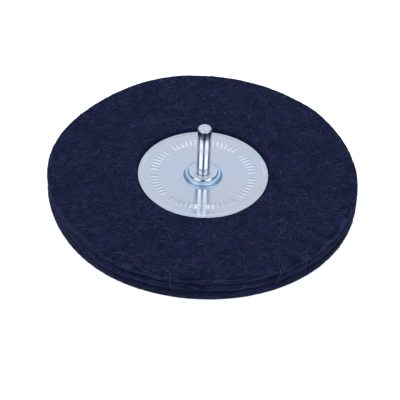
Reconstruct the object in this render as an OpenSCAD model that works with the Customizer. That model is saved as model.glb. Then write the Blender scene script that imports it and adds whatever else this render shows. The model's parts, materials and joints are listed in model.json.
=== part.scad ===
// Felt polishing wheel for a drill: three felt discs held between two dished flanges
// on a steel arbor, whose tail is riveted over at the back.
// Sizes are in millimetres. The origin is the centre of the felt's flat back face,
// and +Z runs along the shank, out of its free end.

/* [Felt] */
// Diameter of the felt discs
felt_d = 140; // [110:1:160]
// Thickness of one felt disc where nothing presses on it
ply_t = 4.2; // [4:0.1:5]
// Radius of a felt disc's edge on the shank's side
edge_front = 0.7; // [0.3:0.1:1.2]
// Radius of its other edge
edge_back = 1.6; // [0.8:0.1:2.6]
// Width of the band outside a flange where the felt swells back to its full thickness
swell_w = 2.5; // [1:0.5:6]

/* [Flanges] */
// Diameter of both flanges
flange_d = 59; // [52:1:66]
// Thickness of their sheet steel
sheet_t = 0.9; // [0.7:0.1:1.1]
// Depth of the front dish, from the lip to the middle
front_dish_h = 1.1; // [0.8:0.1:1.6]
// Depth of the back dish, which has to hide the rivet head
back_dish_h = 1.4; // [1.2:0.1:2]
// Width of the flat lip around a flange
lip_w = 1.8; // [1:0.2:3]
// Depth of both lips below the felt's faces
lip_sunk = 0.8; // [0.6:0.1:1.2]

/* [Boss of the front flange] */
// Diameter of the boss where it leaves the dish
boss_d = 18.2; // [17:0.2:20]
// Height of the boss above the dish around it
boss_h = 1.9; // [1.6:0.1:2.4]
// Radius of the boss's shoulder
boss_round = 1.4; // [1.2:0.1:1.5]

/* [Arbor] */
// Diameter of the shank
shank_d = 6.35; // [6, 6.35]
// Length of the shank, from the collar to its end
shank_len = 25; // [20:1:40]
// Chamfer on the shank's end
shank_chamfer = 0.5; // [0.2:0.1:1]
// Diameter of the collar that presses on the front flange
collar_d = 13.8; // [13:0.2:14.8]
// Thickness of the collar
collar_t = 0.8; // [0.6:0.1:1.2]
// Diameter of the spigot that carries the flanges
spigot_d = 5.5; // [5:0.1:5.6]

/* [Spacer and rivet] */
// Outer diameter of the spacer sleeve between the flanges
sleeve_d = 9; // [8:0.2:10]
// Diameter of the washer under the rivet head
washer_d = 11; // [10:0.5:11.5]
// Thickness of that washer
washer_t = 0.6; // [0.5:0.1:0.7]
// Diameter of the rivet head
rivet_d = 8.6; // [8:0.1:9]
// Height of the rivet head
rivet_h = 1; // [0.8:0.1:1]

/* [Hidden] */
$fn = 180;

plies = 3;
curve_steps = 8;         // straight pieces in a dish's curve
round_steps = 6;         // straight pieces in a rounded edge
bore_play = 0.05;        // radial play of a pressed part on the spigot
felt_play = 0.2;         // radial play of the felt on the sleeve
groove_w = 0.5;          // relief groove at the foot of the shank
groove_depth = 0.3;
collar_chamfer = 0.15;
seat_r = 6;              // flat seat in the middle of the back flange

stack_t = plies * ply_t;
felt_r = felt_d / 2;
flange_r = flange_d / 2;
dish_r = flange_r - lip_w;
boss_r = boss_d / 2;
hole_r = spigot_d / 2 + bore_play;

// Height that a dish of depth h has gained at radius r, up to the lip
function rise(h, r) = h * pow(min(r, dish_r) / dish_r, 2);

// Outer face of the front flange's dish, and of the back flange's
function front_z(r) = stack_t - lip_sunk - front_dish_h + rise(front_dish_h, max(r, boss_r));
function back_z(r) = lip_sunk + back_dish_h - rise(back_dish_h, max(r, seat_r));

boss_z = front_z(0) + boss_h;        // top of the boss, under the collar
collar_z = boss_z + collar_t;        // top of the collar, where the shank starts
shank_z = collar_z + shank_len;
seat_z = back_z(0);                  // outer face of the back flange's seat
washer_z = seat_z - washer_t;
rivet_z = washer_z - rivet_h;

// Radii from a to b, in equal steps
function steps(a, b) = [for (i = [0:curve_steps]) a + (b - a) * i / curve_steps];

// Outer face of the front flange, from the bore to the rim, moved into the sheet by depth
function front_profile(depth) = concat(
    [[hole_r, boss_z - depth]],
    [for (i = [0:round_steps]) let (angle = 90 - 90 * i / round_steps)
        [boss_r - boss_round + (boss_round - depth) * cos(angle),
         boss_z - boss_round + (boss_round - depth) * sin(angle)]],
    [[boss_r - depth, front_z(boss_r) - depth]],
    [for (r = steps(boss_r, dish_r)) if (r > boss_r) [r, front_z(r) - depth]],
    [[flange_r, front_z(flange_r) - depth]]);

// Outer face of the back flange in the same way
function back_profile(depth) = concat(
    [[hole_r, seat_z + depth]],
    [for (r = steps(seat_r, dish_r)) [r, back_z(r) + depth]],
    [[flange_r, back_z(flange_r) + depth]]);

function reversed(list) = [for (i = [len(list) - 1:-1:0]) list[i]];

// Lowest and highest surface of the felt at radius r: the flanges press on it as far as
// their rims, and it swells back to its full thickness outside them
function swell(r) = min(1, max(0, (r - flange_r) / swell_w));
function felt_low(r) = (back_z(r) + sheet_t) * (1 - swell(r));
function felt_high(r) = (front_z(r) - sheet_t) * (1 - swell(r)) + stack_t * swell(r);

// Face number k of the stacked felt at radius r, from 0 at the back to 3 at the front
function ply_z(k, r) = felt_low(r) + (felt_high(r) - felt_low(r)) * k / plies;

felt_hole_r = sleeve_d / 2 + felt_play;
felt_radii = concat([felt_hole_r, seat_r], steps(boss_r, dish_r), [flange_r, flange_r + swell_w]);

module turned(profile) {
    rotate_extrude() polygon(profile);
}

// Quarter circle of a rim's edge: radius r, centre at height z, from one angle to another
function edge_arc(r, z, from, to) = [for (i = [0:round_steps])
    let (angle = from + (to - from) * i / round_steps)
        [felt_r - r + r * cos(angle), z + r * sin(angle)]];

// A felt disc between faces k and k + 1
module felt_disc(k) {
    color("midnightblue")
        turned(concat(
            [for (r = felt_radii) [r, ply_z(k, r)]],
            edge_arc(edge_back, k * ply_t + edge_back, -90, 0),
            edge_arc(edge_front, (k + 1) * ply_t - edge_front, 0, 90),
            [for (r = reversed(felt_radii)) [r, ply_z(k + 1, r)]]));
}

// The crown of a rivet head of diameter d and height h, from its tip to its edge: an arc
// that stands on z = 0 and rises to h
function rivet_profile(d, h) =
    let (crown_r = (d * d / 4 + h * h) / (2 * h), edge_angle = asin(d / 2 / crown_r))
    [for (i = [0:round_steps]) let (angle = edge_angle * i / round_steps)
        [crown_r * sin(angle), crown_r * (1 - cos(angle))]];

// Shank, collar and spigot turned in one piece, with the spigot's tail riveted over
module arbor() {
    spigot_r = spigot_d / 2;
    collar_r = collar_d / 2;
    shank_r = shank_d / 2;
    color("gainsboro")
        turned(concat(
            [for (p = rivet_profile(rivet_d, rivet_h)) p + [0, rivet_z]],
            [[spigot_r, washer_z],
             [spigot_r, boss_z],
             [collar_r, boss_z],
             [collar_r, collar_z - collar_chamfer],
             [collar_r - collar_chamfer, collar_z],
             [shank_r - groove_depth, collar_z],
             [shank_r - groove_depth, collar_z + groove_w],
             [shank_r, collar_z + groove_w],
             [shank_r, shank_z - shank_chamfer],
             [shank_r - shank_chamfer, shank_z],
             [0, shank_z]]));
}

// Pressed sheet dish with a raised boss under the collar
module front_flange() {
    color("lightsteelblue")
        turned(concat(front_profile(0), reversed(front_profile(sheet_t))));
}

// The same dish the other way up, with a flat seat in place of the boss
module back_flange() {
    color("lightsteelblue")
        turned(concat(back_profile(0), reversed(back_profile(sheet_t))));
}

// Tube that keeps the flanges apart when the rivet is closed
module spacer_sleeve() {
    sleeve_z = seat_z + sheet_t;
    color("silver")
        translate([0, 0, sleeve_z])
            difference() {
                cylinder(d = sleeve_d, h = boss_z - sheet_t - sleeve_z);
                translate([0, 0, -1]) cylinder(r = hole_r, h = boss_z);
            }
}

// Washer that spreads the rivet head's load on the back flange
module rivet_washer() {
    color("silver")
        translate([0, 0, washer_z])
            difference() {
                cylinder(d = washer_d, h = washer_t);
                translate([0, 0, -1]) cylinder(r = hole_r, h = washer_t + 2);
            }
}

arbor();
front_flange();
felt_disc(2);  // felt_disc_front
felt_disc(1);  // felt_disc_middle
felt_disc(0);  // felt_disc_back
spacer_sleeve();
back_flange();
rivet_washer();
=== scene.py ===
import json
import math

import bpy
import numpy as np
from mathutils import Matrix, Vector


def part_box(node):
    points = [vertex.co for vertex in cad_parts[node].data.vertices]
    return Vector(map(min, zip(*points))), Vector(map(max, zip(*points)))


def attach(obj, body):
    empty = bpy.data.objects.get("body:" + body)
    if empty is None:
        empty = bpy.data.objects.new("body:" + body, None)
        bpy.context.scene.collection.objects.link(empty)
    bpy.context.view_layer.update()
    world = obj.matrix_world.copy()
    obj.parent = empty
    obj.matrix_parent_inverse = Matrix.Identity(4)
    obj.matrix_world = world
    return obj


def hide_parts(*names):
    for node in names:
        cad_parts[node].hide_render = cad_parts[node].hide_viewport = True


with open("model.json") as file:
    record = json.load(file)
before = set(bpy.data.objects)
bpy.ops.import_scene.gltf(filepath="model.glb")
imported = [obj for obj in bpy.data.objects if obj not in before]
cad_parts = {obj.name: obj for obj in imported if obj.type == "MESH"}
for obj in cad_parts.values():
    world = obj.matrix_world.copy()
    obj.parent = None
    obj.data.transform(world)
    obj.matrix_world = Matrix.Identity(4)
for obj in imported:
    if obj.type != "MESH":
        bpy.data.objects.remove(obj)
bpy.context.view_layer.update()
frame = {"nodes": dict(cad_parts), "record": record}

MM = 0.001

# ---------------------------------------------------------------- sizes that the frame gives
SHANK = next(m for m in frame["record"]["mounts"] if m["name"] == "shank")
SHANK_R = SHANK["dims"]["r_mm"] * MM
SHANK_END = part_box("arbor")[1].z
SHANK_CHAMFER = SHANK_END - SHANK["pos_m"][2] - SHANK["dims"]["length_mm"] * MM / 2
COLLAR_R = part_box("arbor")[1].x
BOSS_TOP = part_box("front_flange")[1].z
FLANGE_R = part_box("front_flange")[1].x
SLEEVE_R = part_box("spacer_sleeve")[1].x
SHEET = BOSS_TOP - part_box("spacer_sleeve")[1].z
SEAT_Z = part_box("rivet_washer")[1].z
WASHER_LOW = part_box("rivet_washer")[0].z
RIVET_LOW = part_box("arbor")[0].z
FELT_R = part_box("felt_disc_middle")[1].x
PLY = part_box("felt_disc_middle")[1].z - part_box("felt_disc_middle")[0].z
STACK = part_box("felt_disc_front")[1].z

# ---------------------------------------------------------------- shapes that the frame can't give
LIP_W = 1.8 * MM             # flat lip round a flange
LIP_SUNK = 0.8 * MM          # both lips below the felt's faces
FRONT_DISH_H = 1.1 * MM      # depth of each dish
BACK_DISH_H = 1.4 * MM
BOSS_R = 9.1 * MM            # boss at its foot
FOOT_BEND = 0.4 * MM         # inner radius where the boss leaves the dish
SHOULDER_W = 1.5 * MM        # width of the boss's rounded shoulder
SEAT_R = 6 * MM              # flat middle of the back flange
COLLAR_T = 0.8 * MM
COLLAR_BEVEL = 0.5 * MM      # worn bevel round the collar's top edge
SPIGOT_R = 2.75 * MM
RIVET_R = 4.3 * MM
HOLE_R = 2.8 * MM            # bore of both flanges
RIM_BULGE = 0.9 * MM         # how far the middle of a ply's rim stands out beyond its faces
SWELL_W = 1.3 * MM           # band where the felt swells up beside a flange
DISH_R = FLANGE_R - LIP_W
FELT_HOLE_R = SLEEVE_R + 0.2 * MM
PLY_GAP = 0.02 * MM          # room between two plies
BACK_CLEARANCE = 0.12 * MM   # room for loose fibres under the felt

# ---------------------------------------------------------------- colours
FELT_LOW = (0.0014, 0.0021, 0.0115, 1)      # felt in the hollows of its surface
FELT_HIGH = (0.0094, 0.0114, 0.039, 1)      # and where it stands up
FELT_CURL = (0.034, 0.038, 0.1, 1)          # fine curls felted into it
RIM_LOW = (0.0014, 0.002, 0.01, 1)          # combed streaks on the rim
# pale combed streaks on the rim, strongest along its top edge, where they are a painted highlight
RIM_PALE_AND_HIGHLIGHT = (0.019, 0.024, 0.072, 1)
# painted shade in the grooves between two plies, and a painted contact shadow under the lowest ply
GROOVE_SHADE = (0.0014, 0.0018, 0.008, 1)         # between two plies
FELT_TINTS = (0.9, 1.06, 1.0, 1), (1.12, 0.95, 1.02, 1)
COOL_LIGHT = (0.62, 0.85, 1.25)             # low lights that reach the felt's rim
ROOM = (0.36, 0.66, 1.12, 1)                # the dim room round the wheel


# ---------------------------------------------------------------- meshes
def add_piece(name, verts, faces, material):
    """A piece of the wheel, riding on its one body."""
    mesh = bpy.data.meshes.new(name)
    mesh.from_pydata(verts, [], faces)
    mesh.shade_smooth()
    mesh.materials.append(material)
    piece = bpy.data.objects.new(name, mesh)
    bpy.context.scene.collection.objects.link(piece)
    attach(piece, "root")
    return piece


def arc(centre_r, centre_z, radius, start, end, count):
    """Points on an arc of a profile, with angles in degrees."""
    turns = np.radians(np.linspace(start, end, count))
    return [(centre_r + radius * math.cos(t), centre_z + radius * math.sin(t)) for t in turns]


def ring_faces(rows, segments, wrap):
    """Quads between neighbouring rings. wrap also joins the last ring to the first."""
    i = np.arange(rows if wrap else rows - 1)[:, None]
    j = np.arange(segments)[None, :]
    nxt, turn = (i + 1) % rows, (j + 1) % segments
    quads = [i * segments + j, i * segments + turn, nxt * segments + turn, nxt * segments + j]
    return np.stack(np.broadcast_arrays(*quads), -1).reshape(-1, 4).tolist()


def turned(name, profile, material, segments=720, shape=None):
    """A solid of revolution from a closed profile of (r, z) points, which runs outwards below and
    inwards above. A profile that starts and ends on the axis gets a point at each end instead of a
    ring. shape(r, z, angle) may move the points."""
    profile = np.array(profile, float)
    solid = profile[0, 0] == 0 and profile[-1, 0] == 0
    rings = profile[1:-1] if solid else profile
    angle = np.arange(segments) * 2 * math.pi / segments
    r, z, a = np.broadcast_arrays(rings[:, :1], rings[:, 1:], angle[None, :])
    if shape:
        r, z = shape(r, z, a)
    verts = np.stack([r * np.cos(a), r * np.sin(a), z], -1).reshape(-1, 3).tolist()
    faces = ring_faces(len(rings), segments, wrap=not solid)
    if solid:
        low, high = len(verts), len(verts) + 1
        last = (len(rings) - 1) * segments
        verts += [[0, 0, profile[0, 1]], [0, 0, profile[-1, 1]]]
        for j in range(segments):
            k = (j + 1) % segments
            faces.append([low, k, j])
            faces.append([last + j, last + k, high])
    return add_piece(name, verts, faces, material)


def ripple(x, y, wavelength, seed, waves=14):
    """Smooth random relief of about unit height, as a sum of plane waves."""
    rng = np.random.default_rng(seed)
    total = 0
    for _ in range(waves):
        heading, phase = rng.uniform(0, 2 * math.pi, 2)
        k = 2 * math.pi / (wavelength * rng.uniform(0.7, 1.6))
        total = total + np.sin(k * (x * math.cos(heading) + y * math.sin(heading)) + phase)
    return total / math.sqrt(waves / 2)


def smooth_step(t):
    """0 below 0, 1 above 1, and an even rise between them."""
    t = np.clip(t, 0, 1)
    return t * t * (3 - 2 * t)


# ---------------------------------------------------------------- materials
def new_material(name):
    """A material with its node tree and its Principled shader."""
    material = bpy.data.materials.new(name)
    material.use_nodes = True
    shader = material.node_tree.nodes["Principled BSDF"]
    return material, material.node_tree, shader


def add_node(tree, kind, inputs=None, **settings):
    """A node with its settings, and its inputs set to a value or linked from a socket."""
    made = tree.nodes.new(kind)
    for key, value in settings.items():
        setattr(made, key, value)
    for key, value in (inputs or {}).items():
        if isinstance(value, bpy.types.NodeSocket):
            tree.links.new(value, made.inputs[key])
        else:
            made.inputs[key].default_value = value
    return made


def place(tree):
    """Position on the wheel, in metres."""
    return add_node(tree, "ShaderNodeTexCoord").outputs["Object"]


def grain(tree, position, size, detail=3.0, distortion=0.0):
    """Noise whose features measure about size metres."""
    return add_node(tree, "ShaderNodeTexNoise", {
        "Vector": position, "Scale": 1 / size, "Detail": detail, "Distortion": distortion,
    }).outputs["Fac"]


def remap(tree, value, low, high, to_low=0.0, to_high=1.0):
    """to_low where the value is below low, to_high above high, and a smooth change between them."""
    return add_node(tree, "ShaderNodeMapRange", {
        "Value": value, "From Min": low, "From Max": high, "To Min": to_low, "To Max": to_high,
    }, interpolation_type="SMOOTHSTEP").outputs["Result"]


def maths(tree, operation, a, b=0.0):
    return add_node(tree, "ShaderNodeMath", {0: a, 1: b}, operation=operation).outputs[0]


def product(tree, first, *others):
    for other in others:
        first = maths(tree, "MULTIPLY", first, other)
    return first


def mixture(tree, *parts):
    """Sum of (value, weight) pairs."""
    total = 0.0
    for value, weight in parts:
        total = maths(tree, "ADD", maths(tree, "MULTIPLY", value, weight), total)
    return total


def stretched(tree, position, factors):
    """The position times a factor for each axis."""
    return add_node(tree, "ShaderNodeVectorMath", {0: position, 1: factors},
                    operation="MULTIPLY").outputs["Vector"]


def axis_distance(tree, position):
    """Distance from the wheel's axis, in metres."""
    return add_node(tree, "ShaderNodeVectorMath", {0: stretched(tree, position, (1, 1, 0))},
                    operation="LENGTH").outputs["Value"]


def blend_colour(tree, factor, a, b):
    """Colour a where the factor is 0, and b where it is 1."""
    mix = add_node(tree, "ShaderNodeMix", data_type="RGBA")
    for key, value in ((0, factor), (6, a), (7, b)):
        if isinstance(value, bpy.types.NodeSocket):
            tree.links.new(value, mix.inputs[key])
        else:
            mix.inputs[key].default_value = value
    return mix.outputs[2]


def tinted(tree, colour, tint):
    """One colour times another."""
    mix = add_node(tree, "ShaderNodeMix", data_type="RGBA", blend_type="MULTIPLY")
    mix.inputs[0].default_value = 1.0
    tree.links.new(colour, mix.inputs[6])
    tree.links.new(tint, mix.inputs[7])
    return mix.outputs[2]


def bump(tree, height, depth, strength=1.0):
    """Relief too fine for the mesh, depth metres deep."""
    return add_node(tree, "ShaderNodeBump", {
        "Height": height, "Distance": depth, "Strength": strength,
    }).outputs["Normal"]


def hairlines(tree, position, size, width, distortion):
    """Thin curling lines, where a noise crosses its middle value, broken up by another noise."""
    value = grain(tree, position, size, detail=1.0, distortion=distortion)
    off_line = maths(tree, "ABSOLUTE", maths(tree, "SUBTRACT", value, 0.5))
    line = remap(tree, off_line, 0, width, 1, 0)
    broken = remap(tree, grain(tree, position, size * 1.3, detail=0.0), 0.46, 0.6)
    return product(tree, line, broken)


def painted_shade_strength(tree, at_rim, height, x):
    """Strength of the painted shade on the rim: a painted contact shadow under the lowest ply, and
    painted shade in the grooves where two plies meet. The painted shade is fainter at the left, where the
    plies lie flush. At the right the lower groove is darkest, where the middle ply has lifted, and the
    upper one is nearly closed."""
    # painted contact shadow along the foot of the rim
    strength = product(tree, at_rim, remap(tree, height, 0.6 * MM, 1.4 * MM, 0.7, 0))
    open_here = remap(tree, x, -60 * MM, -25 * MM, 0.15, 1)
    # painted shade in the grooves where two plies meet
    for face, at_right in ((1, 0.85), (2, 0.2)):
        middle = face * PLY
        band = product(tree, remap(tree, height, middle - 1.3 * MM, middle - 0.1 * MM),
                       remap(tree, height, middle + 0.6 * MM, middle + 1.4 * MM, 1, 0))
        share = product(tree, open_here, remap(tree, x, 35 * MM, 58 * MM, 0.5, at_right))
        strength = maths(tree, "MAXIMUM", strength, product(tree, band, share))
    return strength


def felt_material():
    """Dense navy felt: soft clumps, fine fuzz and curls, with a combed rim. The rim has a painted
    highlight along its top edge, painted shade in the grooves and a painted contact shadow at its foot.
    """
    material, tree, shader = new_material("navy_felt")
    position = place(tree)
    mottle = grain(tree, position, 12 * MM, detail=2)
    clump = grain(tree, position, 3.2 * MM, detail=3, distortion=1.6)
    fuzz = grain(tree, position, 1.1 * MM, detail=4, distortion=1.2)
    curls = maths(tree, "MAXIMUM",
                  hairlines(tree, position, 4.2 * MM, 0.028, 1.6),
                  hairlines(tree, position, 2.6 * MM, 0.035, 2.4))
    depth = mixture(tree, (mottle, 0.18), (clump, 0.36), (fuzz, 0.46))
    cloth = blend_colour(tree, remap(tree, depth, 0.38, 0.6), FELT_LOW, FELT_HIGH)
    face = blend_colour(tree, product(tree, curls, 0.6), cloth, FELT_CURL)

    axes = add_node(tree, "ShaderNodeSeparateXYZ", {0: position}).outputs
    ragged = maths(tree, "MULTIPLY", maths(tree, "SUBTRACT", clump, 0.5), 4 * MM)
    height = maths(tree, "ADD", axes["Z"], ragged)
    out = axis_distance(tree, position)
    at_rim = remap(tree, out, FELT_R - 2 * MM, FELT_R - 1 * MM)
    combed = stretched(tree, position, (0.2, 0.2, 1))
    streaks = grain(tree, combed, 1.0 * MM, detail=3, distortion=0.4)
    flattened = product(tree, at_rim, remap(tree, streaks, 0.4, 0.52, 0.75, 0))
    # Pale combed streaks on the rim, strongest near its top edge as a painted highlight
    streaks_and_highlight = product(tree, remap(tree, height, 2.4 * PLY, 2.75 * PLY, 0.45, 1),
                      remap(tree, out, FELT_R - 1.6 * MM, FELT_R - 0.9 * MM),
                      remap(tree, streaks, 0.48, 0.62, 0, 0.8))
    rim = blend_colour(tree, streaks_and_highlight, blend_colour(tree, flattened, face, RIM_LOW), RIM_PALE_AND_HIGHLIGHT)
    # painted shade in the grooves and a painted contact shadow at the foot of the rim
    rim_with_painted_shade = blend_colour(tree, painted_shade_strength(tree, at_rim, height, axes["X"]), rim, GROOVE_SHADE)
    patches = remap(tree, grain(tree, position, 6 * MM, detail=1), 0.38, 0.62)
    tree.links.new(tinted(tree, rim_with_painted_shade, blend_colour(tree, patches, *FELT_TINTS)),
                   shader.inputs["Base Color"])

    relief = mixture(tree, (curls, 0.35), (clump, 0.6), (fuzz, 0.6))
    tree.links.new(bump(tree, relief, 0.6 * MM, 0.8), shader.inputs["Normal"])
    tree.links.new(remap(tree, fuzz, 0.3, 0.7, 0.98, 0.86), shader.inputs["Roughness"])
    shader.inputs["Specular IOR Level"].default_value = 0.1
    shader.inputs["Sheen Weight"].default_value = 0.05
    shader.inputs["Sheen Roughness"].default_value = 0.6
    shader.inputs["Sheen Tint"].default_value = (0.4, 0.48, 0.9, 1)
    return material


def fibre_material(name, dark, light):
    """Loose wool fibres. Each has its own tone, and most of them are dark."""
    material, tree, shader = new_material(name)
    position = place(tree)
    own = add_node(tree, "ShaderNodeNewGeometry").outputs["Random Per Island"]
    pale = maths(tree, "POWER", own, 2.5)
    tone = blend_colour(tree, pale, dark, light)
    along = grain(tree, position, 1.5 * MM, detail=2)
    shade = blend_colour(tree, remap(tree, along, 0.35, 0.65, 0.0, 0.5), tone, dark)
    tree.links.new(shade, shader.inputs["Base Color"])
    tree.links.new(remap(tree, along, 0.3, 0.7, 0.65, 0.85), shader.inputs["Roughness"])
    tree.links.new(bump(tree, grain(tree, position, 0.2 * MM), 0.02 * MM, 0.5), shader.inputs["Normal"])
    shader.inputs["Specular IOR Level"].default_value = 0.25
    return material


def plated_material(name, cool, warm, rough, ripple_depth, worn_ring=(0, 0), worn_by=0.0,
                    worn_tone_and_reflection=(1, 1, 1, 1), worn_above=1.0):
    """Zinc plate over pressed or turned steel: a slightly cloudy mirror with fine scratches. Its tone
    wanders between two colours, and its roughness between the two values of rough. Between the two
    radii of worn_ring, and above a height, where it was turned or drawn, it is rougher by worn_by and
    has its own colour. Near a flange's middle that colour is blue, a painted reflection of the navy felt."""
    material, tree, shader = new_material(name)
    position = place(tree)
    cloud = grain(tree, position, 16 * MM, detail=2)
    speckle = grain(tree, position, 0.5 * MM, detail=4)
    along = add_node(tree, "ShaderNodeMapping", {"Vector": position, "Scale": (1, 14, 1),
                                                 "Rotation": (0, 0, 0.6)}).outputs["Vector"]
    scratches = hairlines(tree, along, 9 * MM, 0.006, 0.3)
    colour = blend_colour(tree, remap(tree, cloud, 0.35, 0.65), cool, warm)

    radius = axis_distance(tree, position)
    height = add_node(tree, "ShaderNodeSeparateXYZ", {0: position}).outputs["Z"]
    soft = 0.15 * MM
    in_ring = product(tree, remap(tree, radius, worn_ring[0] - soft, worn_ring[0] + soft),
                      remap(tree, radius, worn_ring[1] - soft, worn_ring[1] + soft, 1, 0))
    worn = maths(tree, "MAXIMUM", in_ring, remap(tree, height, worn_above - soft, worn_above + soft))
    # The worn colour is the turned tone, and near a flange's middle a blue painted reflection
    tree.links.new(blend_colour(tree, worn, colour, worn_tone_and_reflection), shader.inputs["Base Color"])

    haze = mixture(tree, (speckle, 0.4), (cloud, 0.6))
    roughness = maths(tree, "ADD", remap(tree, haze, 0.35, 0.65, *rough), product(tree, worn, worn_by))
    tree.links.new(maths(tree, "ADD", roughness, product(tree, scratches, 0.12)),
                   shader.inputs["Roughness"])
    relief = maths(tree, "SUBTRACT", grain(tree, position, 3.5 * MM, detail=2),
                   product(tree, scratches, 0.2))
    tree.links.new(bump(tree, relief, ripple_depth), shader.inputs["Normal"])
    shader.inputs["Metallic"].default_value = 1.0
    return material


FELT = felt_material()
FIBRE = fibre_material("loose_fibre", (0.01, 0.0125, 0.042, 1), (0.086, 0.092, 0.183, 1))
LONG_FIBRE = fibre_material("long_fibre", (0.045, 0.05, 0.11, 1), (0.09, 0.1, 0.19, 1))
# The blue worn colour near each flange's middle is a painted reflection of the navy felt
ZINC = plated_material(
    "satin_zinc", cool=(0.68, 0.695, 0.735, 1), warm=(0.715, 0.695, 0.73, 1), rough=(0.13, 0.19),
    ripple_depth=0.014 * MM, worn_ring=(0, BOSS_R + 0.3 * MM), worn_by=0.29,
    worn_tone_and_reflection=(0.66, 0.78, 0.885, 1))
BRIGHT = plated_material(
    "bright_zinc", cool=(0.71, 0.74, 0.79, 1), warm=(0.74, 0.75, 0.78, 1), rough=(0.09, 0.15),
    ripple_depth=0.008 * MM, worn_ring=(SHANK_R + 0.3 * MM, COLLAR_R - COLLAR_BEVEL - 0.1 * MM),
    worn_by=0.27, worn_tone_and_reflection=(0.735, 0.74, 0.765, 1), worn_above=SHANK_END - SHANK_CHAMFER)
PLAIN = plated_material(
    "plain_zinc", cool=(0.6, 0.62, 0.65, 1), warm=(0.6, 0.62, 0.65, 1), rough=(0.27, 0.39),
    ripple_depth=0.02 * MM)


# ---------------------------------------------------------------- arbor
def arbor_profile():
    """Half section of the arbor, from the rivet head's tip to the centre of the shank's end."""
    collar_z = BOSS_TOP + COLLAR_T
    relief = 0.3 * MM       # size of the groove at the foot of the shank
    soft = 0.06 * MM        # how far the turned edges are broken
    crown = WASHER_LOW - RIVET_LOW
    crown_r = (RIVET_R ** 2 + crown ** 2) / (2 * crown)
    edge = math.degrees(math.asin(RIVET_R / crown_r))
    head = arc(0, RIVET_LOW + crown_r, crown_r, -90, edge - 90, 14)
    chamfer_z, chamfer_r = SHANK_END - SHANK_CHAMFER, SHANK_R - SHANK_CHAMFER
    return [
        (0, RIVET_LOW),
        *head[1:],
        (SPIGOT_R, WASHER_LOW),
        (SPIGOT_R, BOSS_TOP),
        (COLLAR_R - 2 * soft, BOSS_TOP),
        *arc(COLLAR_R - soft, BOSS_TOP + soft, soft, -70, 0, 4),
        (COLLAR_R, collar_z - COLLAR_BEVEL - soft),
        (COLLAR_R - soft * 0.3, collar_z - COLLAR_BEVEL + soft * 0.3),
        (COLLAR_R - COLLAR_BEVEL + soft * 0.6, collar_z - soft * 0.6),
        (COLLAR_R - COLLAR_BEVEL - soft, collar_z),
        (SHANK_R + 2.5 * relief, collar_z),
        (SHANK_R + relief, collar_z),
        *arc(SHANK_R, collar_z + relief / 2, relief / 2, -90, -180, 5),
        (SHANK_R - relief / 2, collar_z + relief * 1.2),
        (SHANK_R, collar_z + relief * 1.8),
        (SHANK_R, collar_z + relief * 2.2),
        (SHANK_R, chamfer_z - 4 * soft),
        (SHANK_R, chamfer_z - soft),
        (SHANK_R - soft * 0.4, chamfer_z + soft * 0.4),
        (chamfer_r + soft * 0.4, SHANK_END - soft * 0.4),
        (chamfer_r - soft, SHANK_END),
        (chamfer_r - 4 * soft, SHANK_END),
        (0, SHANK_END),
    ]


def make_arbor():
    piece = turned("arbor_turned", arbor_profile(), BRIGHT, segments=240)
    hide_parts("arbor")


# ---------------------------------------------------------------- flanges
def rise(depth, r):
    """Height that a dish of this depth has gained at radius r."""
    return depth * (np.minimum(r, DISH_R) / DISH_R) ** 2


def front_dish(r):
    """Height of the front flange's outer face, apart from its boss."""
    return STACK - LIP_SUNK - FRONT_DISH_H + rise(FRONT_DISH_H, np.maximum(r, BOSS_R))


def back_dish(r):
    """Height of the back flange's outer face, which is its lower one."""
    return LIP_SUNK + BACK_DISH_H - rise(BACK_DISH_H, np.maximum(r, SEAT_R))


def boss_section():
    """Outer face of the boss, from its foot to its flat top."""
    foot_z = float(front_dish(BOSS_R))
    wall_r, wall_z = BOSS_R - FOOT_BEND, foot_z + FOOT_BEND
    shoulder = [(wall_r - SHOULDER_W * (1 - math.cos(t)), wall_z + (BOSS_TOP - wall_z) * math.sin(t))
                for t in np.radians(np.linspace(0, 90, 18)[1:])]
    return [*arc(BOSS_R, wall_z, FOOT_BEND, 270, 180, 8), *shoulder]


def front_flange_profile():
    """Closed section of the pressed front flange. The outer face has its closest rings where the
    ribs and the step are."""
    edge = SHEET / 2
    lip_z = float(front_dish(FLANGE_R))
    boss = boss_section()
    band_from, band_to, beside_step = 19.6 * MM, 25.8 * MM, 0.32 * MM
    below = [(r, float(front_dish(r)) - SHEET) for r in np.linspace(BOSS_R, DISH_R, 14)]
    dish_radii = np.arange(BOSS_R + 0.4 * MM, band_from - 0.2 * MM, 0.7 * MM)
    band_radii = np.arange(band_from, band_to, 0.24 * MM)
    step_radii = np.linspace(DISH_R - beside_step, DISH_R + beside_step, 9)
    dish, band, crease = ([(r, float(front_dish(r))) for r in radii]
                          for radii in (dish_radii, band_radii, step_radii))
    outside = [
        *reversed(crease),
        *reversed(band),
        *reversed(dish),
        *boss,
        (HOLE_R, BOSS_TOP),
    ]
    return [
        (HOLE_R, BOSS_TOP - SHEET),
        (boss[-1][0], BOSS_TOP - SHEET),
        *below,
        (FLANGE_R - edge, lip_z - SHEET),
        *arc(FLANGE_R - edge * 0.6, lip_z - SHEET + edge * 0.6, edge * 0.6, -80, 0, 5),
        *arc(FLANGE_R - edge * 0.6, lip_z - edge * 0.6, edge * 0.6, 0, 80, 6),
        (FLANGE_R - edge, lip_z),
        *outside,
    ]


LIP_STEP = 0.07 * MM         # step down from the dish to the lip
STEP_W = 0.44 * MM           # width of that step
LIP_DROOP = 0.01             # slope of the lip, down towards its edge
RIB_GROUPS = 8               # groups of raised ribs round the front flange
RIBS_IN_GROUP = 7
RIB_PITCH = math.radians(5.3)
RIB_TURN = math.radians(-112.5)   # middle of one of the groups
RIB_R = 22.1 * MM            # middle of the ring of ribs
RIB_LENGTH = 4.8 * MM
RIB_WIDTH = 1.45 * MM
RIB_END = 1.5 * MM           # how far a rib's ends slope down
RIB_HEIGHT = 0.17 * MM


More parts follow.
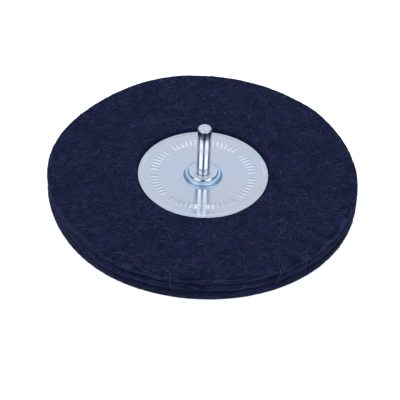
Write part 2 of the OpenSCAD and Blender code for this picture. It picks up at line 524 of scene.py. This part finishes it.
def rib_relief(r, angle):
    """Height of the raised ribs: equal groups of short plain rounded strokes."""
    period = 2 * math.pi / RIB_GROUPS
    within = (angle - RIB_TURN + period / 2) % period - period / 2
    index = np.clip(np.round(within / RIB_PITCH), -(RIBS_IN_GROUP // 2), RIBS_IN_GROUP // 2)
    across = np.abs(within - index * RIB_PITCH) * r / (RIB_WIDTH / 2)
    beyond = np.maximum(np.abs(r - RIB_R) - RIB_LENGTH / 2 + RIB_END, 0) / RIB_END
    return RIB_HEIGHT * smooth_step(1.15 * (1 - np.hypot(across, beyond)))


def front_flange_shape(r, z, angle):
    """Ribs, the step down to the lip and the slight unevenness of a pressed sheet."""
    x, y = r * np.cos(angle), r * np.sin(angle)
    outer = z > front_dish(r) - SHEET / 2
    on_dish = smooth_step((r - BOSS_R - 1 * MM) / (3 * MM)) * outer
    step = LIP_STEP * smooth_step((r - DISH_R + STEP_W / 2) / STEP_W)
    droop = LIP_DROOP * np.maximum(r - DISH_R, 0)
    uneven = 0.012 * MM * ripple(x, y, 22 * MM, seed=3)
    return r, z + on_dish * (rib_relief(r, angle) - step - droop + uneven)


def back_flange_profile():
    """Closed section of the back flange, which has a flat seat instead of a boss."""
    edge = SHEET * 0.3
    lip_z = float(back_dish(FLANGE_R))
    outside = [(r, float(back_dish(r))) for r in np.linspace(SEAT_R, DISH_R, 26)]
    inside = [(r, float(back_dish(r)) + SHEET) for r in np.linspace(DISH_R, SEAT_R, 14)]
    return [
        (HOLE_R, SEAT_Z),
        *outside,
        (FLANGE_R - edge * 1.5, lip_z),
        *arc(FLANGE_R - edge, lip_z + edge, edge, -80, 0, 6),
        *arc(FLANGE_R - edge, lip_z + SHEET - edge, edge, 0, 80, 5),
        *inside,
        (HOLE_R, SEAT_Z + SHEET),
    ]


def make_flanges():
    front = turned("front_flange_pressed", front_flange_profile(), ZINC, 900,
                   front_flange_shape)
    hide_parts("front_flange")
    back = turned("back_flange_pressed", back_flange_profile(), ZINC, 720)
    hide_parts("back_flange")


# ---------------------------------------------------------------- felt
# How far out of round the cut felt is: (lobes, along X, along Y)
OUTLINE_LOBES = (
    (0, -0.17 * MM, 0),
    (1, 0.1 * MM, 0.21 * MM),
    (2, 0, -0.4 * MM),
    (3, -0.05 * MM, -0.25 * MM),
    (4, 0.15 * MM, 0),
    (5, -0.25 * MM, 0.15 * MM),
    (6, 0.1 * MM, -0.15 * MM),
)
PARTED_AT, PARTED_W = -28, 20      # where the middle ply has lifted, and how far round, in degrees
PARTED_BY = 0.7 * MM
FLUSH_AT, FLUSH_W = -165, 45       # where the plies lie flush
RIM_LIFT = 0.4 * MM                # how far the plies between the flanges splay at the rim
PLIES = ("felt_ply_back", "felt_ply_middle", "felt_ply_front")


def outline(angle, level):
    """How far the felt's rim stands out beyond the true circle. level is the face, 0 to 3."""
    out = sum(c * np.cos(n * angle) + s * np.sin(n * angle) for n, c, s in OUTLINE_LOBES)
    ply = np.clip(np.floor(level), 0, 2)
    own = 0.12 * MM * np.sin(3 * angle + 2.1 * ply) + 0.05 * MM * np.sin(7 * angle + 4 * ply)
    return out + own


def degrees_off(angle, centre):
    """Degrees from a centre to an angle, between -180 and 180."""
    return (np.degrees(angle) - centre + 180) % 360 - 180


def parting(angle):
    """Where the middle ply has lifted off the back one: 1 at the right, 0 elsewhere."""
    return np.exp(-(degrees_off(angle, PARTED_AT) / PARTED_W) ** 2)


def closed(angle):
    """Where the plies lie flush with hardly a groove between them: 1 at the left, 0 elsewhere."""
    return np.exp(-(degrees_off(angle, FLUSH_AT) / FLUSH_W) ** 4)


def felt_face(level, r):
    """Height of face number level of the stacked felt, from 0 at the back to 3 at the front.
    The front face bulges a little where the flange squeezes it out."""
    out = smooth_step((r - FLANGE_R) / SWELL_W)
    low = (back_dish(r) + SHEET) * (1 - out) + BACK_CLEARANCE * out
    bulge = 0.3 * MM * np.exp(-((r - FLANGE_R - SWELL_W) / (2.4 * MM)) ** 2)
    high = (front_dish(r) - SHEET) * (1 - out) + (STACK + bulge) * out
    return low + (high - low) * level / 3


def felt_shape(r, z, angle):
    """The cut outline, the soft unevenness of felt, and the ply that has lifted at the right."""
    x, y = r * np.cos(angle), r * np.sin(angle)
    level = np.clip(z / PLY, 0, 3)
    to_rim = smooth_step((r - FLANGE_R - 4 * MM) / (FELT_R - FLANGE_R - 4 * MM))
    free = smooth_step((r - FLANGE_R) / (6 * MM))
    wave = 0.1 * MM * ripple(x, y, 30 * MM, seed=5) + 0.03 * MM * ripple(x, y, 7 * MM, seed=6)
    edge = smooth_step((r - FELT_R + 4 * MM) / (3 * MM))
    lift = to_rim ** 3 * (PARTED_BY * parting(angle) * smooth_step(level / 1.6)
                          + RIM_LIFT * np.sin(math.pi * level / 3))
    rough_rim = (0.03 * MM * ripple(angle * FELT_R, z * 2, 2.6 * MM, seed=7)
                 + 0.02 * MM * ripple(angle * FELT_R, z * 3, 9 * MM, seed=8))
    between = (level > 0.3) * (level < 2.9)
    frayed = 0.16 * MM * edge * ripple(angle * FELT_R, z * 0.5, 6 * MM, seed=9) * between
    flush = 0.7 * closed(angle) * edge * np.clip(FELT_R - r, 0, RIM_BULGE)
    moved = r + to_rim * outline(angle, level - 0.01) + edge * rough_rim + flush
    return moved, z + free * level / 3 * wave + lift + frayed


def felt_profile(ply, top_rings, bottom_rings):
    """Closed section of a ply, with this many rings on the free part of each face."""
    low_z = BACK_CLEARANCE if ply == 0 else ply * PLY + PLY_GAP
    high_z = (ply + 1) * PLY
    middle, half = (low_z + high_z) / 2, (high_z - low_z) / 2
    inner = FLANGE_R + SWELL_W
    bottom = [*np.linspace(FELT_HOLE_R, FLANGE_R, 8), *np.linspace(FLANGE_R, inner, 6)[1:],
              *np.linspace(inner, FELT_R - RIM_BULGE, bottom_rings)[1:-1]]
    top = [*np.linspace(FELT_R - RIM_BULGE, inner, top_rings)[1:-1], *np.linspace(inner, FLANGE_R, 12),
           *np.linspace(FLANGE_R, FELT_HOLE_R, 8)[1:]]
    return [
        *[(r, float(felt_face(ply, r)) + PLY_GAP) for r in bottom],
        *[(FELT_R - RIM_BULGE * (1 - math.cos(t)), middle + half * math.sin(t))
          for t in np.radians(np.linspace(-90, 90, 21))],
        *[(r, float(felt_face(ply + 1, r))) for r in top],
    ]


def make_felt():
    rings = ((8, 30), (8, 8), (54, 8))
    made = []
    for ply, (name, (top, bottom)) in enumerate(zip(PLIES, rings)):
        piece = turned(name, felt_profile(ply, top, bottom), FELT, 860, felt_shape)
        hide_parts(name.replace("ply", "disc"))
        made.append(piece)
    return made


# ---------------------------------------------------------------- loose fibres
def wander(rng, count, points, length, bend, wave):
    """Curling fibres, each about its own middle: offsets along two axes, as arrays of
    (count, points), and how far along its fibre each point is, from 0 to 1."""
    heading = rng.uniform(0, 2 * math.pi, (count, 1))
    along = np.linspace(0, 1, points)[None, :]
    turn = rng.normal(0, bend, (count, 1)) * along
    swing = rng.normal(0, wave, (count, 1)) * np.sin(
        2 * math.pi * along * rng.uniform(0.6, 1.6, (count, 1)) + rng.uniform(0, 6.3, (count, 1)))
    direction = heading + turn + swing
    step = length / (points - 1)
    u = np.cumsum(np.cos(direction) * step, 1)
    v = np.cumsum(np.sin(direction) * step, 1)
    return u - u.mean(1, keepdims=True), v - v.mean(1, keepdims=True), along


def hop(rng, count, along, height):
    """Height of each fibre over the felt: sunk at its ends, and up by its own amount between."""
    top = rng.exponential(height, (count, 1)).clip(0, 3 * height)
    return top * np.sin(math.pi * along) ** 0.7 - 0.03 * MM * (1 - np.sin(math.pi * along))


def tubes(name, points, normals, radius, material):
    """Three-sided tapering tubes along rows of points, all in one piece."""
    sides = 3
    count, steps = points.shape[:2]
    tangent = np.gradient(points, axis=1)
    side = np.cross(tangent, normals)
    side /= np.linalg.norm(side, axis=2, keepdims=True)
    up = np.cross(side, tangent)
    up /= np.linalg.norm(up, axis=2, keepdims=True)
    taper = (0.35 + 0.65 * np.sin(math.pi * np.linspace(0.02, 0.98, steps)) ** 0.6)[None, :, None]
    girth = radius[:, None, None] * taper
    corners = [points + girth * (side * math.cos(t) + up * math.sin(t))
               for t in np.radians((90, 210, 330))]
    verts = np.stack(corners, 2).reshape(-1, 3)
    start = (np.arange(count) * steps * sides)[:, None, None]
    i = (np.arange(steps - 1) * sides)[None, :, None]
    j = np.arange(sides)[None, None, :]
    k = (j + 1) % sides
    ring, further = start + i, start + i + sides
    quads = np.stack(np.broadcast_arrays(ring + j, further + j, further + k, ring + k), -1)
    ends = np.arange(count)[:, None] * steps * sides
    first = ends + np.array([0, 1, 2])
    last = ends + (steps - 1) * sides + np.array([2, 1, 0])
    faces = quads.reshape(-1, 4).tolist() + first.tolist() + last.tolist()
    return add_piece(name, verts.tolist(), faces, material)


def on_face(x, y, level, height):
    """Points that lie on a face of the felt, raised by height, with their normals."""
    r = np.hypot(x, y)
    angle = np.arctan2(y, x)
    flat = felt_face(level, r)
    _, z = felt_shape(r, flat, angle)
    way = 1 if level > 0 else -1
    points = np.stack([x, y, z + way * height], -1)
    return points, np.broadcast_to(np.array([0.0, 0.0, way]), points.shape)


def face_fibres(name, level, count, length, thickness, height, seed, points=8):
    """Loose fibres all over a face of the felt outside the flange."""
    rng = np.random.default_rng(seed)
    inner, outer = FLANGE_R + 1.2 * MM, FELT_R - 1.6 * MM
    r = np.sqrt(rng.uniform(inner ** 2, outer ** 2, (count, 1)))
    a = rng.uniform(0, 2 * math.pi, (count, 1))
    lengths = rng.uniform(*length, (count, 1))
    u, v, along = wander(rng, count, points, lengths, 2.0, 0.8)
    x, y = r * np.cos(a) + u, r * np.sin(a) + v
    reach = np.hypot(x, y)
    held = np.clip(reach, inner, outer) / reach
    up = hop(rng, count, along, height)
    if level == 0:
        up = np.minimum(up, BACK_CLEARANCE * 0.5)
    place_on, normals = on_face(x * held, y * held, level, up)
    return tubes(name, place_on, normals, rng.uniform(*thickness, count) / 2, FIBRE)


def rim_fibres(name, count, length, thickness, height, seed, points=7):
    """Loose fibres round the rim, each on one ply."""
    rng = np.random.default_rng(seed)
    ply = rng.integers(0, 3, (count, 1))
    a = rng.uniform(0, 2 * math.pi, (count, 1))
    lengths = rng.uniform(*length, (count, 1))
    u, v, along = wander(rng, count, points, lengths, 1.0, 0.5)
    angle = a + u / FELT_R
    height_in_ply = np.clip(rng.uniform(0.3, 0.9, (count, 1)) + 0.35 * v / PLY, 0.06, 0.97)
    r = FELT_R - RIM_BULGE * (1 - np.sqrt(1 - (2 * height_in_ply - 1) ** 2))
    r, z = felt_shape(r, (ply + height_in_ply) * PLY, angle)
    r = r + hop(rng, count, along, height)
    points_on = np.stack([r * np.cos(angle), r * np.sin(angle), z], -1)
    normals = np.stack([np.cos(angle), np.sin(angle), np.full_like(angle, 0.2)], -1)
    return tubes(name, points_on, normals, rng.uniform(*thickness, count) / 2, FIBRE)


# The longest loose fibres, which lie on the front face, as (x, y) points in millimetres
LONG_FIBRES = (
    ((-41, -59), (-38.5, -58), (-37, -55.2), (-35, -54.8), (-32.2, -55.7), (-30, -56.8),
     (-28, -56.6), (-25.5, -55.3), (-23.7, -53.5), (-21.6, -50.5)),
    ((55.5, -16.8), (56.6, -15.8), (57.8, -15.5), (58.7, -16), (59.6, -16.8), (60.4, -15.7), (61, -14.3)),
    ((30, -33), (31.6, -32.3), (33.3, -31.3), (35.2, -30), (37.3, -29.2)),
)


def long_fibres(name, thickness, steps=40):
    """Smooth tubes through LONG_FIBRES."""
    rows = []
    for fibre in LONG_FIBRES:
        knots = np.array(fibre) * MM
        t = np.linspace(0, len(knots) - 1, steps)
        near = np.clip(np.round(t), 1, len(knots) - 2).astype(int)
        f = (t - near)[:, None]
        before, at, after = knots[near - 1], knots[near], knots[near + 1]
        rows.append(at + f * (after - before) / 2 + f ** 2 * (after + before - 2 * at) / 2)
    x, y = np.moveaxis(np.array(rows), 2, 0)
    place_on, normals = on_face(x, y, 3, np.full(x.shape, thickness * 0.6))
    return tubes(name, place_on, normals, np.full(len(rows), thickness / 2), LONG_FIBRE)


# Fibres that come over the front edge and hang down the rim, as (angle, drift) in degrees
CROSSING_FIBRES = ((-59.5, -2.2), (-58.2, -2.6), (-50.5, 1.8), (-101, 1.5))


def crossing_fibres(name, thickness, steps=24):
    """Tubes along CROSSING_FIBRES. The first part of each lies on the face."""
    lying, face_length = 0.35, 3.5 * MM     # the part that lies on the face
    hanging, stand_off = 9 * MM, 0.15 * MM  # the part that hangs down the rim
    t = np.linspace(0, 1, steps)
    start, drift = np.radians(np.array(CROSSING_FIBRES)).T[:, :, None]
    sway = np.radians(0.35) * np.sin(9 * t + 40 * start)
    angle = start + drift * t + sway
    outwards = np.clip(t / lying, 0, 1)
    down = np.clip((t - lying) / (1 - lying), 0, 1)
    r, z = felt_shape(FELT_R + stand_off - face_length * (1 - outwards), STACK - hanging * down, angle)
    points = np.stack([r * np.cos(angle), r * np.sin(angle), z + thickness / 2], -1)
    normals = np.stack([-np.sin(angle), np.cos(angle), np.zeros_like(angle)], -1)
    return tubes(name, points, normals, np.full(len(points), thickness / 2), LONG_FIBRE)


def make_fibres():
    short, thin = (2 * MM, 6 * MM), (0.05 * MM, 0.1 * MM)
    front = face_fibres("felt_fibres_front", 3, 2400, short, (0.12 * MM, 0.3 * MM), 0.06 * MM,
                        seed=11, points=10)
    curls = face_fibres("felt_curls_front", 3, 120, (5 * MM, 11 * MM), (0.14 * MM, 0.26 * MM), 0.25 * MM,
                        seed=12, points=20)
    longest = long_fibres("felt_longest_fibres", 0.3 * MM)
    crossing = crossing_fibres("felt_crossing_fibres", 0.25 * MM)
    rim = rim_fibres("felt_fibres_rim", 1500, short, thin, 0.08 * MM, seed=13)
    back = face_fibres("felt_fibres_back", 0, 1200, short, thin, 0.05 * MM, seed=14)
    return front, curls, longest, crossing, rim, back


# ---------------------------------------------------------------- studio
def softbox(name, azimuth, elevation, distance, width, height, radiance, glossy=True, diffuse=True,
            colour=(1, 1, 1)):
    """A rectangular light that faces the wheel. Azimuth 0 is the camera's side, 90 is +X. One that
    isn't glossy doesn't show in reflections, and one that isn't diffuse shows only in them."""
    a, e = math.radians(azimuth), math.radians(elevation)
    towards = Vector((math.sin(a) * math.cos(e), -math.cos(a) * math.cos(e), math.sin(e)))
    data = bpy.data.lights.new(name, "AREA")
    data.shape = "RECTANGLE"
    data.size = width
    data.size_y = height
    data.energy = radiance * math.pi * width * height
    data.color = colour
    light = bpy.data.objects.new(name, data)
    light.location = towards * distance
    light.rotation_mode = "QUATERNION"
    light.rotation_quaternion = towards.to_track_quat("Z", "Y")
    light.visible_camera = False
    light.visible_glossy = glossy
    light.visible_diffuse = diffuse
    bpy.context.scene.collection.objects.link(light)


def make_floor():
    """A white floor just under the felt."""
    mesh = bpy.data.meshes.new("floor")
    half = 6
    drop = -0.05 * MM
    corners = [(-half, -half, drop), (half, -half, drop), (half, half, drop), (-half, half, drop)]
    mesh.from_pydata(corners, [], [(0, 1, 2, 3)])
    material, tree, shader = new_material("white_floor")
    paper = grain(tree, place(tree), 5 * MM)
    tree.links.new(blend_colour(tree, paper, (0.92, 0.92, 0.92, 1), (0.94, 0.94, 0.94, 1)),
                   shader.inputs["Base Color"])
    shader.inputs["Roughness"].default_value = 1.0
    shader.inputs["Specular IOR Level"].default_value = 0.0
    shader.inputs["Emission Color"].default_value = (1, 1, 1, 1)
    shader.inputs["Emission Strength"].default_value = 0.6
    mesh.materials.append(material)
    floor = bpy.data.objects.new("floor", mesh)
    floor.visible_glossy = False    # so that the bright metal doesn't melt into a white ground
    bpy.context.scene.collection.objects.link(floor)


def make_world():
    """White to the camera, and a dim cool room to everything that it lights."""
    world = bpy.data.worlds.new("studio")
    bpy.context.scene.world = world
    world.use_nodes = True
    tree = world.node_tree
    tree.nodes.clear()
    room = add_node(tree, "ShaderNodeBackground", {"Color": ROOM, "Strength": 0.3})
    white = add_node(tree, "ShaderNodeBackground", {"Color": (1, 1, 1, 1), "Strength": 1.0})
    seen = add_node(tree, "ShaderNodeLightPath").outputs["Is Camera Ray"]
    mixed = add_node(tree, "ShaderNodeMixShader", {0: seen, 1: room.outputs[0], 2: white.outputs[0]})
    add_node(tree, "ShaderNodeOutputWorld", {"Surface": mixed.outputs[0]})


def make_camera():
    """The photograph's view: from 42 degrees up, rolled by 2, through a long lens."""
    elevation, roll = math.radians(42.1), math.radians(2.2)
    distance = 0.9
    lip_z = float(front_dish(FLANGE_R)) - LIP_STEP - LIP_DROOP * LIP_W
    target = Vector((-0.92 * MM, -8.04 * MM, lip_z - 8.88 * MM))
    right = Vector((1, 0, 0))
    up = Vector((0, math.sin(elevation), math.cos(elevation)))
    back = right.cross(up)
    rolled_right = right * math.cos(roll) + up * math.sin(roll)
    rolled_up = up * math.cos(roll) - right * math.sin(roll)
    data = bpy.data.cameras.new("camera")
    data.sensor_width = 36
    data.lens = 179.4
    camera = bpy.data.objects.new("camera", data)
    turn = Matrix((rolled_right, rolled_up, back)).transposed().to_4x4()
    camera.matrix_world = Matrix.Translation(target + back * distance) @ turn
    bpy.context.scene.collection.objects.link(camera)
    bpy.context.scene.camera = camera


def make_lights():
    """The values are azimuth, elevation, distance, width, height and radiance."""
    softbox("softbox_left", -46, 42, 1.0, 0.7, 0.55, 1.85)
    softbox("softbox_right", 45, 42, 1.0, 0.7, 0.55, 1.85)
    softbox("back_low", 180, 20, 1.3, 1.1, 0.44, 0.46)
    softbox("back_panel", 180, 45, 1.3, 1.1, 0.68, 0.61)
    softbox("back_top", 180, 75, 1.3, 1.1, 0.7, 1.0)
    softbox("back_left", -155, 27, 1.3, 0.3, 0.35, 1.15)
    softbox("back_right", 155, 27, 1.3, 0.3, 0.35, 1.15)
    softbox("side_left", -125, 42, 1.3, 0.8, 0.9, 0.34, diffuse=False)
    softbox("side_right", 125, 42, 1.3, 0.8, 0.9, 0.34, diffuse=False)
    softbox("overhead", 0, 90, 1.6, 3.0, 3.0, 0.68, glossy=False)
    softbox("front_fill", 0, 14, 1.5, 1.6, 0.5, 0.85, glossy=False, colour=COOL_LIGHT)
    softbox("rim_right", 70, 24, 1.5, 0.9, 0.5, 1.7, glossy=False, colour=COOL_LIGHT)
    softbox("rim_left", -64, 5, 1.5, 0.9, 0.4, 0.35, glossy=False, colour=COOL_LIGHT)


make_camera()
make_world()
make_lights()
make_floor()
make_arbor()
make_flanges()
make_felt()
make_fibres()
for node in ("spacer_sleeve", "rivet_washer"):
    frame["nodes"][node].data.materials.clear()
    frame["nodes"][node].data.materials.append(PLAIN)
bpy.context.scene.view_settings.view_transform = "Standard"
